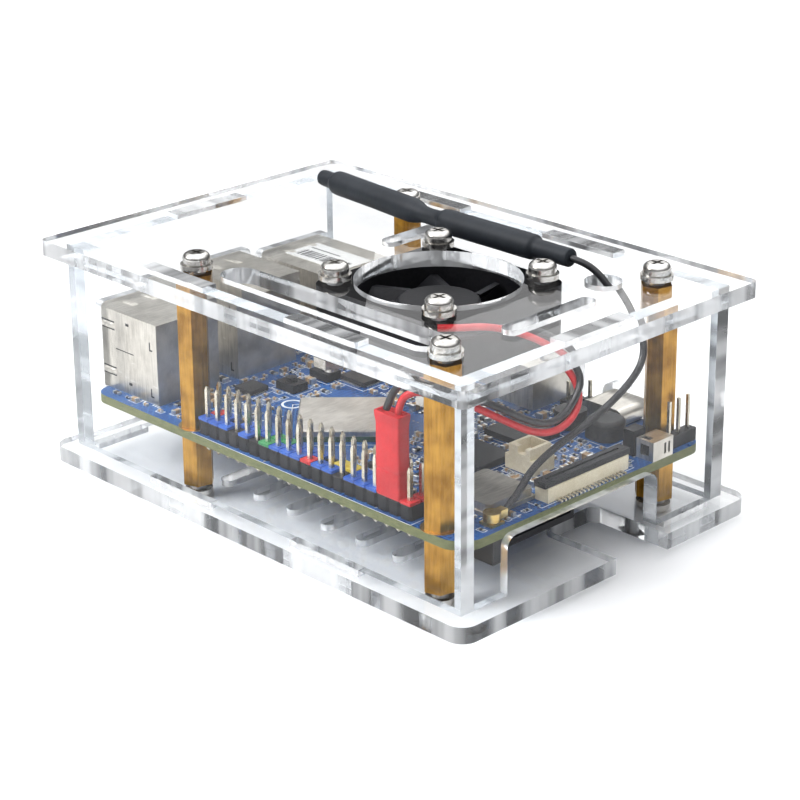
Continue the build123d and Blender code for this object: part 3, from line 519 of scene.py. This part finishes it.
def lead(name, route, diameter, finish, node):
    """A round lead along a smooth curve through the route's control points."""
    curve = bpy.data.curves.new(name, "CURVE")
    curve.dimensions = "3D"
    spline = curve.splines.new("NURBS")
    spline.points.add(len(route) - 1)
    for point, (x, y, z) in zip(spline.points, route):
        point.co = (x * MM, y * MM, z * MM, 1)
    spline.order_u = 3
    spline.use_endpoint_u = True
    spline.resolution_u = 8
    curve.bevel_depth = diameter / 2 * MM
    curve.bevel_resolution = 4
    curve.use_fill_caps = True
    curve.materials.append(finish)
    made = bpy.data.objects.new(name, curve)
    bpy.context.scene.collection.objects.link(made)
    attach(made, "case")
    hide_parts(node)
    return made


red_lead = lead("lead_red", RED_ROUTE, LEAD_D, LEAD_RED, "fan_lead_red")
black_lead = lead("lead_black", BLACK_ROUTE, LEAD_D, LEAD_BLACK, "fan_lead_black")
coax_lead = lead("lead_antenna", COAX_ROUTE, LEAD_D, LEAD_BLACK, "antenna_lead")


# ---- antenna -------------------------------------------------------------------------
def antenna():
    """A tube about a bent axis: radius follows a smooth profile along the axis, and the axis turns
    gently at the neck between the two thick halves."""
    neck, z = np.array([-6.4, 16.6]), LID_TOP + 2.27
    tip_dir = np.array([-31.6, 3.3]) / np.hypot(31.6, 3.3)
    stations = np.array([
        (-31.8, 0.6), (-31.75, 1.1), (-31.4, 1.42), (-30.6, 1.5), (-28.4, 1.5), (-27.9, 1.58),
        (-27.4, 1.9), (-26.9, 2.14), (-26.0, 2.22), (-20.0, 2.18), (-12.0, 2.22), (-5.0, 2.2),
        (-3.9, 2.06), (-3.0, 1.75), (-2.0, 1.52), (0.0, 1.42), (1.8, 1.5), (2.7, 1.75), (3.4, 2.08),
        (4.4, 2.22), (12.0, 2.19), (22.6, 2.23), (23.8, 2.2), (24.4, 2.1), (24.75, 1.85), (25.1, 1.66),
        (25.8, 1.6), (29.0, 1.57), (32.2, 1.6), (32.4, 1.5), (32.48, 0.62)])
    t = np.interp(np.arange(0, len(stations) - 0.5, 0.5), np.arange(len(stations)), stations[:, 0])
    r = np.interp(t, stations[:, 0], stations[:, 1])
    r = r + 0.015 * np.sin(t * 2.1) + 0.012 * np.sin(t * 3.7 + 1)
    lean = 1 / (1 + np.exp(t * 1.3))
    soft = np.log1p(np.exp(-t * 1.3)) / 1.3
    axis = neck + np.outer(t + soft, [1, 0]) + np.outer(soft, tip_dir)
    heading = np.outer(1 - lean, [1, 0]) - np.outer(lean, tip_dir)
    heading /= np.linalg.norm(heading, axis=1)[:, None]
    around = np.linspace(0, 2 * np.pi, 40, endpoint=False)
    side = np.stack([-heading[:, 1], heading[:, 0]], -1)
    xy = axis[:, None, :] + side[:, None, :] * (r[:, None] * np.cos(around))[..., None]
    height = z + r[:, None] * np.sin(around)
    return loft(np.concatenate([xy, height[..., None]], -1))


piece("antenna_skin", *antenna(), SHRINK, "heat_shrink", smooth=True, stands_for=("antenna_body",))


# ---- pin header ----------------------------------------------------------------------
def header_places():
    """Middle of every header pin: two rows at the header's pitch."""
    low, high = millimetres("gpio_pins")
    x = low[0] + PIN_HALF + PITCH * np.arange(PINS)
    y = np.array([low[1] + PIN_HALF, high[1] - PIN_HALF])
    return np.array([(a, b) for b in y for a in x])


HEADER = header_places()


def pin(z0, z1, taper):
    """A square pin whose last part narrows to a blunt point: four rings of four points."""
    rings = []
    half = PIN_HALF
    for z, h in ((z0, half), (z1 - taper, half), (z1 - 0.12, half * 0.55), (z1, half * 0.42)):
        rings += [(-h, -h, z), (h, -h, z), (h, h, z), (-h, h, z)]
    return rings, lathe_faces(4, 4).tolist() + [[3, 2, 1, 0], [12, 13, 14, 15]]


pin_low, pin_high = millimetres("gpio_pins")
top_pin, pin_faces = pin(BOARD_TOP + 2.44, pin_high[2], 0.75)
top_points, top_faces = copies(top_pin, pin_faces, [(x, y, 0) for x, y in HEADER])
upright = pin(pin_low[2], BOARD_BOTTOM, 0.3)[0]
tail = [(x, y, pin_low[2] + BOARD_BOTTOM - z) for x, y, z in upright]      # turned to point down
tail_points, tail_faces = copies(tail, np.array(pin_faces)[:, ::-1], [(x, y, 0) for x, y in HEADER])
piece("header_pin_row", np.vstack([top_points, tail_points]),
      np.vstack([top_faces, tail_faces + len(top_points)]), PIN_PLATE, "pin_metal",
      stands_for=("gpio_pins",))


def header_housing():
    """Each pin pair sits in one cell of the housing, an octagon with its corners cut off."""
    low, high = millimetres("gpio_base")
    a, b, cut = PITCH / 2, (high[1] - low[1]) / 2, 0.42
    outline = np.array([(-a + cut, -b), (a - cut, -b), (a, -b + cut), (a, b - cut),
                        (a - cut, b), (-a + cut, b), (-a, b - cut), (-a, -b + cut)])
    rings = []
    for z, shrink in ((low[2], 0.0), (high[2] - 0.12, 0.0), (high[2], 0.1)):
        rings.append(np.column_stack([outline * (1 - shrink / b), np.full(8, z)]))
    points = np.vstack(rings)
    faces = lathe_faces(3, 8)
    caps = np.array([[3, 2, 1, 0], [7, 6, 3, 0], [6, 5, 4, 3]])
    top = caps[:, ::-1] + 16
    x = low[0] + PITCH / 2 + PITCH * np.arange(PINS)
    return copies(points, np.vstack([faces, caps, top]), [(c, (low[1] + high[1]) / 2, 0) for c in x])


housing_points, housing_faces = header_housing()
piece("header_housing", housing_points, housing_faces, BLACK, "black_plastic", stands_for=("gpio_base",))


# ---- fan plug ------------------------------------------------------------------------
def plug_body():
    """A loft of rounded rectangles: a plain shank, a waist line, and a flared collar at the top."""
    x, y = (PLUG_LOW[:2] + PLUG_HIGH[:2]) / 2
    length, width = (PLUG_HIGH - PLUG_LOW)[:2]
    z0, h = PLUG_LOW[2], PLUG_HIGH[2] - PLUG_LOW[2]
    profile = [(0.0, 0.94), (0.02, 1.0), (0.30, 1.0), (0.31, 0.95), (0.33, 0.95), (0.34, 1.0),
               (0.80, 0.99), (0.86, 1.0), (0.93, 1.10), (0.985, 1.14), (1.0, 1.10), (1.0, 0.88),
               (0.95, 0.84)]
    return loft([rounded_ring(x, y, z0 + h * t, length * (0.5 + 0.5 * s), width * s, 0.35)
                 for t, s in profile])


fan_plug = piece("plug_body", *plug_body(), RED, "red_plastic", stands_for=("fan_plug",))

[c * MM for c in RED_ROUTE[0]]
[c * MM for c in BLACK_ROUTE[0]]


# ---- small parts on the board: scattered by one seeded generator, so every run is the same ---
seeded = np.random.default_rng(11)
ON_BOARD = ("soc_package", "wifi_module", "gpio_base", "usb_shell_1", "usb_shell_2",
            "ethernet_shell", "hdmi_shell", "power_socket", "audio_jack", "display_connector",
            "display_contacts", "battery_connector", "ir_cage", "antenna_socket")
# chips and other parts of joined nodes on the board: middle x, y and half sizes with a margin
OTHER_PARTS = ((22.6, -3.8, 5.4, 4.7), (21.6, 8.6, 5.4, 4.7), (-24.8, -8.5, 2.8, 2.8),
               (-14.5, 9.0, 3.7, 3.7), (16.0, -16.0, 2.7, 2.2), (31.6, 18.2, 3.7, 3.7),
               (24.4, 17.6, 3.1, 3.1), (-20.3, -3.0, 3.0, 2.3), (-20.1, 4.8, 3.0, 2.3),
               (42.3, 24.0, 1.6, 4.1), (39.5, 16.2, 1.6, 2.0), (19.4, 23.6, 1.6, 2.6),
               (21.7, 25.6, 1.6, 1.6), (-14.8, -7.8, 2.6, 2.6))


def keep_out():
    """Rectangles on the board that already hold something, as low x, low y, high x, high y."""
    taken = [np.concatenate([low[:2] - 0.5, high[:2] + 0.5]) for low, high in map(millimetres, ON_BOARD)]
    low, high = millimetres("upper_standoffs")
    taken += [(x - 3.2, y - 3.2, x + 3.2, y + 3.2)
              for x in (low[0] + 2.7, high[0] - 2.7) for y in (low[1] + 2.7, high[1] - 2.7)]
    taken += [(x - half_x, y - half_y, x + half_x, y + half_y) for x, y, half_x, half_y in OTHER_PARTS]
    return np.array(taken)


def scattered(count, taken, low, high):
    """Parts in short rows on a half-millimetre grid, dropped where they would touch something."""
    rows = []
    while len(rows) < count:
        x, y = np.round(seeded.uniform(low, high) * 2) / 2
        length, width = ((1.0, 0.5), (1.6, 0.8), (1.0, 0.5), (2.0, 1.25))[seeded.integers(4)]
        upright = seeded.random() < 0.5
        for i in range(seeded.integers(1, 5)):
            step = i * (width + 0.55)
            cx, cy = (x + step, y) if upright else (x, y + step)
            half = np.array([width, length] if upright else [length, width]) / 2 + 0.3
            spot = np.array([cx - half[0], cy - half[1], cx + half[0], cy + half[1]])
            clash = ((spot[0] < taken[:, 2]) & (spot[2] > taken[:, 0])
                     & (spot[1] < taken[:, 3]) & (spot[3] > taken[:, 1]))
            if clash.any() or (spot[:2] < low).any() or (spot[2:] > high).any():
                break
            taken = np.vstack([taken, spot])
            rows.append((cx, cy, length, width, np.pi / 2 if upright else 0.0))
    return np.array(rows), taken


def two_ended(name, spots, level, height, down, body_finish, body_slot):
    """Chip parts: a coloured middle and a plated cap on each end."""
    n = len(spots)
    z = np.full(n, level)
    x, y, length, width, turn = spots.T
    middle = np.column_stack([x, y, z, length * 0.62, width * 0.94, height * width, turn])
    piece(name, *tablets(middle, 0.05, down), body_finish, body_slot)
    reach = np.column_stack([np.cos(turn), np.sin(turn)]) * (length * 0.39)[:, None]
    cap = [z, length * 0.24, width, height * width * 1.06, turn]
    caps = np.vstack([np.column_stack([x + s * reach[:, 0], y + s * reach[:, 1], *cap]) for s in (-1, 1)])
    piece(name + "_caps", *tablets(caps, 0.05, down), TIN_ENDS, "pin_metal")


board_low, board_high = millimetres("circuit_board")
TOP_PARTS, _ = scattered(330, keep_out(), board_low[:2] + 1.2, board_high[:2] - 1.2)
is_capacitor = seeded.random(len(TOP_PARTS)) < 0.6
two_ended("capacitors", TOP_PARTS[is_capacitor], BOARD_TOP, 0.85, False, TAN, "cream_plastic")
two_ended("resistors", TOP_PARTS[~is_capacitor], BOARD_TOP, 0.5, False, GREY, "black_plastic")

under_taken = np.array([np.concatenate([low[:2] - 0.4, high[:2] + 0.4]) for low, high in
                        map(millimetres, ("card_slot", "expansion_slot", "gpio_base"))]
                       + [(x - 3.4, y - 3.4, x + 3.4, y + 3.4) for x, y in HOLES]
                       + [(-16.0, 17.0, -7.0, 26.0), (39.0, -22.6, 44.5, -18.8)])
UNDER_PARTS, _ = scattered(150, under_taken, board_low[:2] + 1.5, board_high[:2] - 1.5)
two_ended("under_capacitors", UNDER_PARTS, board_low[2], 0.8, True, TAN, "cream_plastic")


def gull_legs(centres, sides, pitch, reach, level):
    """Short plated legs round a chip: count per side, on each side of each centre."""
    legs = []
    for (x, y, half_x, half_y), count in zip(centres, sides):
        along = (np.arange(count) - (count - 1) / 2) * pitch
        for s in (-1, 1):
            legs += [(x + a, y + s * (half_y + reach / 2), level, pitch * 0.45, reach, 0.22, 0.0)
                     for a in along]
            legs += [(x + s * (half_x + reach / 2), y + a, level, reach, pitch * 0.45, 0.22, 0.0)
                     for a in along]
    return tablets(legs, 0.04)


piece("chip_legs", *gull_legs([(-24.8, -8.5, 2.1, 2.1), (-14.5, 9.0, 3.0, 3.0), (16.0, -16.0, 2.0, 1.5)],
                              (6, 10, 4), 0.5, 0.5, BOARD_TOP), TIN_ENDS, "pin_metal")

# ---- board print ---------------------------------------------------------------------
PRINT_H = 0.02


def frames(boxes, line=0.14):
    """Flat outlines: each box becomes four thin bars that meet at its corners."""
    bars = []
    for x, y, length, width, turn in boxes:
        c, s = np.cos(turn), np.sin(turn)
        for dx, dy, bar_x, bar_y in ((0, width / 2, length, line), (0, -width / 2, length, line),
                                     (length / 2, 0, line, width), (-length / 2, 0, line, width)):
            bars.append((x + dx * c - dy * s, y + dx * s + dy * c, BOARD_TOP, bar_x, bar_y, PRINT_H, turn))
    return bars


def flat_rings(centres, outer, inner, around=28):
    """Flat washers of print: an outer and an inner circle at each of two heights."""
    angle = np.linspace(0, 2 * np.pi, around, endpoint=False)
    circle = np.column_stack([np.cos(angle), np.sin(angle)])
    rings = [np.column_stack([circle * r, np.full(around, z)]) for r, z in
             ((inner, 0), (outer, 0), (outer, PRINT_H), (inner, PRINT_H), (inner, 0))]
    return copies(np.vstack(rings), lathe_faces(5, around), [(x, y, BOARD_TOP) for x, y in centres])


outlines = [(x, y, length + 0.55, width + 0.5, turn) for x, y, length, width, turn in TOP_PARTS[::2]]
outlines += [(8.7, -24.85, 52.4, 6.6, 0.0), (22.6, -3.8, 10.6, 9.2, 0.0), (21.6, 8.6, 10.6, 9.2, 0.0),
             (-24.8, -8.5, 6.0, 6.0, 0.0), (-14.5, 9.0, 8.2, 8.2, 0.0), (-20.3, -3.0, 6.0, 4.4, 0.0),
             (-20.1, 4.8, 6.0, 4.4, 0.0), (-1.9, -7.9, 18.0, 18.0, np.pi / 4), (31.6, 18.2, 7.4, 7.4, 0.0),
             (41.4, 0.4, 4.4, 22.0, 0.0), (31.6, -0.4, 7.2, 6.0, 0.0)]
ticks = []
for x, y, length, width, turn in TOP_PARTS[1::3]:
    word = np.arange(seeded.integers(2, 4)) * 0.62
    ticks += [(x + 0.9 + w, y + 1.05, BOARD_TOP, 0.32, 0.62, PRINT_H, 0.0) for w in word]
inside_board = [t for t in ticks if abs(t[0]) < 43.3 and abs(t[1]) < 27.2]
piece("board_outlines", *tablets(frames(outlines) + inside_board, 0.005), INK, "label_paper")
piece("board_rings", *flat_rings([(-14.8, -7.8)], 2.0, 1.55), INK, "label_paper")
dots = [(8, 14), (-32, -6), (14.5, -11.5), (27.5, -19.6), (-3, 8), (36.2, -3)]
piece("board_dots", *flat_rings(dots, 0.55, 0.3), INK, "label_paper")

piece("hole_lands", *flat_rings(HOLES, 3.1, 2.0, 40), GOLD, "gold_contact")

# ---- sockets -------------------------------------------------------------------------
def slit_shade_bars():
    """Black bars painted as the shade seen through the slits in the side of each twin socket: a bar beside
    each spring finger, two hooked slits near the back and a fine seam between them, all standing off the
    sheet by a hair."""
    bars = []
    for node in ("usb_shell_1", "usb_shell_2"):
        low, high = millimetres(node)
        tall = high[2] - low[2]
        y = low[1] - 0.004
        for z in (0.22, 0.80):
            bars += [(low[0] + 3.2, y, low[2] + tall * z + 0.62, 3.6, 0.02, 0.28, 0.0),
                     (low[0] + 3.2, y, low[2] + tall * z - 0.78, 3.6, 0.02, 0.28, 0.0),
                     (high[0] - 1.9, y, low[2] + tall * (z - 0.14), 0.30, 0.02, 1.6, 0.0),
                     (high[0] - 1.6, y, low[2] + tall * (z - 0.14), 0.8, 0.02, 0.28, 0.0)]
        bars += [(low[0] + 7.6, y, low[2] + tall * 0.52, 5.0, 0.02, 0.18, 0.0),
                 (low[0] + 8.6, y, low[2] + tall * 0.86, 0.9, 0.02, 0.5, 0.0),
                 (low[0] + 8.9, y, low[2] + tall * 0.12, 0.9, 0.02, 0.5, 0.0)]
    return tablets(bars, 0.004)


# painted shade: black bars in place of the shade seen through the slits of the socket shells
piece("socket_slit_shade", *slit_shade_bars(), BLACK, "black_plastic")


LONG_STEPS, WIDE_STEPS = 13, 7          # points along and across a spring finger


def blister(centre, long_way, wide_way, out_way, bulge):
    """A shallow bowed finger: (1 - u^2)(1 - v^4) high over its outline, closed by a rim and a
    hidden back."""
    grid = np.meshgrid(np.linspace(-1, 1, LONG_STEPS), np.linspace(-1, 1, WIDE_STEPS), indexing="ij")
    u, v = (a.reshape(-1, 1) for a in grid)
    long_way, wide_way, out_way = (np.array(a, float) for a in (long_way, wide_way, out_way))
    flat = np.array(centre, float) + u * long_way + v * wide_way
    bowed = flat + out_way * (0.01 + bulge * (1 - u ** 2) * (1 - v ** 4))
    return np.vstack([bowed, flat - out_way * 0.02])


def spring_tabs():
    """Spring fingers pressed out of the top and side of each socket shell."""
    m, n = LONG_STEPS, WIDE_STEPS
    quads = np.array([[i * n + j, (i + 1) * n + j, (i + 1) * n + j + 1, i * n + j + 1]
                      for i in range(m - 1) for j in range(n - 1)])
    rim = ([i * n for i in range(m)] + [(m - 1) * n + j for j in range(1, n)]
           + [i * n + n - 1 for i in range(m - 2, -1, -1)] + list(range(n - 2, 0, -1)))
    wall = np.array([[a, b, b + m * n, a + m * n] for a, b in zip(rim, rim[1:] + rim[:1])])
    shells = []
    for node, rows in (("usb_shell_1", 2), ("usb_shell_2", 2), ("ethernet_shell", 2), ("hdmi_shell", 1)):
        low, high = millimetres(node)
        x = low[0] + (3.4 if node != "hdmi_shell" else 7.3)
        for i in range(rows):
            y = low[1] + (high[1] - low[1]) * (i + 1) / (rows + 1)
            shells.append(blister((x, y, high[2]), (2.2, 0, 0), (0, 0.8, 0), (0, 0, 1), 0.22))
        if node != "hdmi_shell":
            tall = high[2] - low[2]
            side = ((1.8, 0, 0), (0, 0, 0.55), (0, -1, 0), 0.42)
            shells += [blister((low[0] + 3.2, low[1], low[2] + tall * z), *side) for z in (0.22, 0.80)]
    faces = np.vstack([quads, quads + m * n, wall])
    every = faces[None] + 2 * m * n * np.arange(len(shells))[:, None, None]
    return np.vstack(shells), every.reshape(-1, 4)


piece("spring_fingers", *spring_tabs(), TIN, "tin_shell")

# gold contacts on the tongues of the four USB sockets and inside the network socket
contacts = []
for node in ("usb_tongues_1", "usb_tongues_2"):
    low, high = millimetres(node)
    middle = (low[1] + high[1]) / 2
    for z in (low[2], high[2] - 1.6):
        contacts += [(low[0] + 4.0, middle + d, z - 0.05, 6.4, 1.0, 0.06, 0.0)
                     for d in (-3.5, -1.0, 1.0, 3.5)]
net_low, net_high = millimetres("ethernet_insert")
net_middle = (net_low[1] + net_high[1]) / 2
contacts += [(net_low[0] + 7.0, net_middle + (i - 3.5) * 1.02, net_low[2] + 8.4, 6.0, 0.35, 0.2, 0.0)
             for i in range(8)]
piece("socket_contacts", *tablets(contacts, 0.02), GOLD, "gold_contact")

# ---- studio --------------------------------------------------------------------------
floor_mesh = bpy.data.meshes.new("studio_floor")
floor_mesh.from_pydata([(-6, -6, 0), (6, -6, 0), (6, 6, 0), (-6, 6, 0)], [], [[0, 1, 2, 3]])
floor_mesh.materials.append(studio_floor())
floor_piece = bpy.data.objects.new("studio_floor", floor_mesh)
bpy.context.scene.collection.objects.link(floor_piece)

world = bpy.data.worlds.new("studio")
bpy.context.scene.world = world
world.use_nodes = True


def overhead_tent(tree):
    """A white tent that is bright overhead and falls off towards the horizon."""
    direction = tree.nodes.new("ShaderNodeTexCoord")
    split = tree.nodes.new("ShaderNodeSeparateXYZ")
    fade = tree.nodes.new("ShaderNodeMapRange")
    fade.interpolation_type = "SMOOTHSTEP"
    for socket, value in (("From Min", 0.33), ("From Max", 0.85), ("To Min", 0.20), ("To Max", 1.5)):
        fade.inputs[socket].default_value = value
    tree.links.new(direction.outputs["Generated"], split.inputs[0])
    tree.links.new(split.outputs["Z"], fade.inputs["Value"])
    tree.nodes["Background"].inputs["Color"].default_value = (0.98, 0.985, 1.0, 1)
    tree.links.new(fade.outputs[0], tree.nodes["Background"].inputs["Strength"])


overhead_tent(world.node_tree)


def soft_box(name, place, target, size, power):
    """A square area lamp that faces a point."""
    light = bpy.data.lights.new(name, "AREA")
    light.shape, light.size, light.energy = "SQUARE", size, power
    lamp = bpy.data.objects.new(name, light)
    forward = np.array(target, float) - np.array(place, float)
    forward /= np.linalg.norm(forward)
    side = np.cross(forward, (0, 0, 1.0))
    side /= np.linalg.norm(side)
    up = np.cross(side, forward)
    lamp.matrix_world = Matrix([(side[i], up[i], -forward[i], place[i]) for i in range(3)]
                               + [(0, 0, 0, 1)])
    bpy.context.scene.collection.objects.link(lamp)


soft_box("key_light", (-0.35, -0.50, 0.55), (0, 0, 0.02), 0.35, 3.0)
soft_box("back_light", (-0.3, 0.55, 0.5), (0, 0, 0.03), 0.5, 0.8)

settings = bpy.context.scene
settings.view_settings.view_transform = "Standard"
settings.view_settings.look = "Medium High Contrast"
settings.cycles.max_bounces = 16
settings.cycles.transmission_bounces = 14
settings.cycles.transparent_max_bounces = 24
